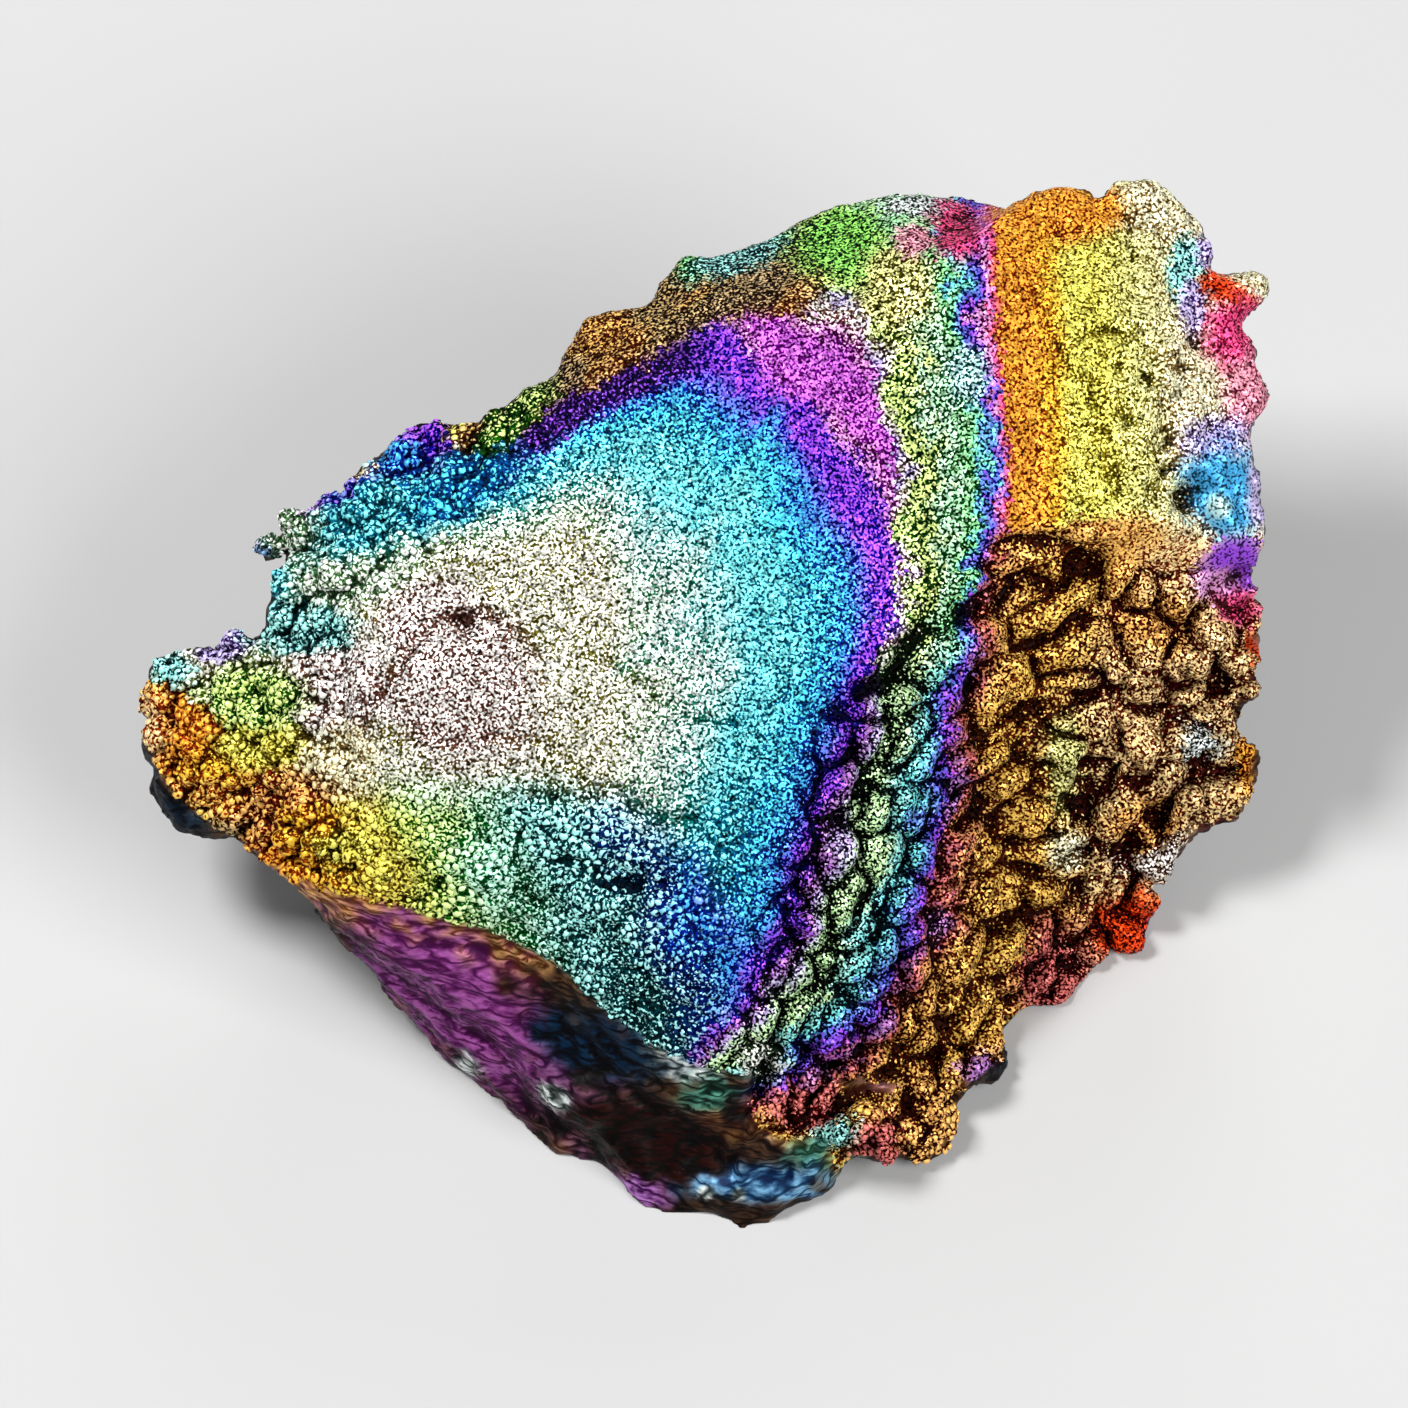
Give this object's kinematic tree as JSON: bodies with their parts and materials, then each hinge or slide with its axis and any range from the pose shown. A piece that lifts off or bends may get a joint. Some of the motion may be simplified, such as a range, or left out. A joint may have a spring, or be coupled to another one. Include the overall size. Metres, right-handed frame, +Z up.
{
  "type": "turgite specimen",
  "caption": "Irregular iron-oxide hand specimen with a domed, grained iridescent crust, a ribbed flank, knobbly rims and a broken underside to rest on.",
  "frame": {"origin": "on the ground, under the middle of the stone's bounding box", "axes": "+Z up; the crust faces up and towards -Y; +X runs from the narrow tip to the knobbly broad side"},
  "size_m": [0.0956, 0.0782, 0.0458],
  "materials": {
    "iridescent_iron_oxide": "fine metallic grains under a thin iridescent film that runs through gold, magenta, violet, blue, teal, green and silver, with dark crevices"
  },
  "bodies": {
    "root": {"turgite_specimen": "iridescent_iron_oxide"}
  },
  "joints": []
}
